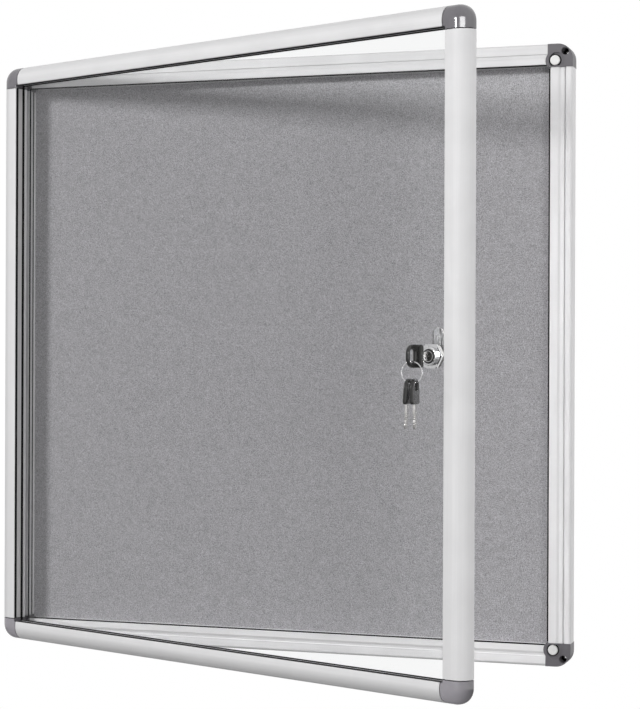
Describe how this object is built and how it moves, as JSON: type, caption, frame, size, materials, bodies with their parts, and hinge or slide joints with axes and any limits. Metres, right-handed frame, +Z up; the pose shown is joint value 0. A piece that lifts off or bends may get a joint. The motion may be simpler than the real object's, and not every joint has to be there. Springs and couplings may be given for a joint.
{
  "type": "lockable notice board",
  "caption": "Shallow wall cabinet with a felt pin board behind a hinged clear door in an aluminium frame, closed by a cam lock with keys on a ring.",
  "frame": {"origin": "centre of the frame's back, on the wall plane", "axes": "+X to the right seen from the front, +Y into the wall, +Z up"},
  "size_m": [0.7, 0.3149, 0.7],
  "materials": {
    "satin_aluminium": "satin anodised extrusion",
    "corner_plastic": "satin moulded",
    "cap_plastic": "glossy moulded",
    "white_plastic": "moulded",
    "steel": "plated",
    "black_rubber": "extruded strip",
    "grey_felt": "felt",
    "soft_board": "pressed fibre",
    "backing": "coated sheet",
    "clear_pane": "clear",
    "chrome": "polished",
    "black_plastic": "moulded"
  },
  "bodies": {
    "cabinet": {"frame_top_rail": "satin_aluminium", "frame_bottom_rail": "satin_aluminium", "frame_left_stile": "satin_aluminium", "frame_right_stile": "satin_aluminium", "left_edging": "black_rubber", "right_edging": "black_rubber", "top_edging": "black_rubber", "bottom_edging": "black_rubber", "frame_top_left_corner": "corner_plastic", "frame_top_right_corner": "corner_plastic", "top_door_buffer": "white_plastic", "top_hinge_pin": "steel", "frame_bottom_left_corner": "corner_plastic", "frame_bottom_right_corner": "corner_plastic", "bottom_door_buffer": "white_plastic", "bottom_hinge_pin": "steel", "felt_sheet": "grey_felt", "pin_board_core": "soft_board", "back_sheet": "backing"},
    "door": {"door_top_rail": "satin_aluminium", "door_top_left_cap": "cap_plastic", "door_top_right_cap": "cap_plastic", "top_gasket": "black_rubber", "door_bottom_rail": "satin_aluminium", "door_bottom_left_cap": "cap_plastic", "door_bottom_right_cap": "cap_plastic", "bottom_gasket": "black_rubber", "door_left_stile": "satin_aluminium", "left_gasket": "black_rubber", "door_right_stile": "satin_aluminium", "right_gasket": "black_rubber", "door_pane": "clear_pane", "lock_body": "chrome", "lock_front_nut": "chrome", "lock_washer": "steel", "lock_rear_nut": "steel"},
    "lock_plug": {"lock_plug": "black_plastic", "lock_cam": "steel", "lock_cam_screw": "steel"},
    "lock_key": {"lock_key_head": "black_plastic", "lock_key_blade": "steel"},
    "key_ring": {"key_ring": "steel"},
    "key_a": {"key_a_head": "black_plastic", "key_a_blade": "steel"},
    "key_b": {"key_b_head": "black_plastic", "key_b_blade": "steel"}
  },
  "joints": [
    {"name": "door_hinge", "type": "hinge", "parent": "cabinet", "child": "door", "pos_m": [-0.3465, -0.0304, 0], "axis": [0, 0, -1], "range_deg": [-21.8, 98.2]},
    {"name": "lock_turn", "type": "hinge", "parent": "door", "child": "lock_plug", "pos_m": [0.25711, -0.26429, -0.002], "axis": [0.3714, 0.9285, 0], "range_deg": [0, 90]},
    {"name": "key_slide", "type": "slide", "parent": "lock_plug", "child": "lock_key", "axis": [-0.3714, -0.9285, 0], "range_m": [0, 0.027]},
    {"name": "ring_roll", "type": "hinge", "parent": "lock_key", "child": "key_ring", "pos_m": [0.24166, -0.30291, -0.01115], "axis": [0.3714, 0.9285, 0], "range_deg": [-90, 0]},
    {"name": "key_a_swing", "type": "hinge", "parent": "key_ring", "child": "key_a", "pos_m": [0.24166, -0.30291, -0.02935], "axis": [0.9949, -0.1011, 0], "range_deg": [-20, 20]},
    {"name": "key_b_swing", "type": "hinge", "parent": "key_ring", "child": "key_b", "pos_m": [0.24166, -0.30291, -0.02935], "axis": [0.9949, -0.1011, 0], "range_deg": [-20, 20]}
  ],
  "couplings": [
    {"joint": "ring_roll", "follows": "lock_turn", "ratio": -1}
  ]
}
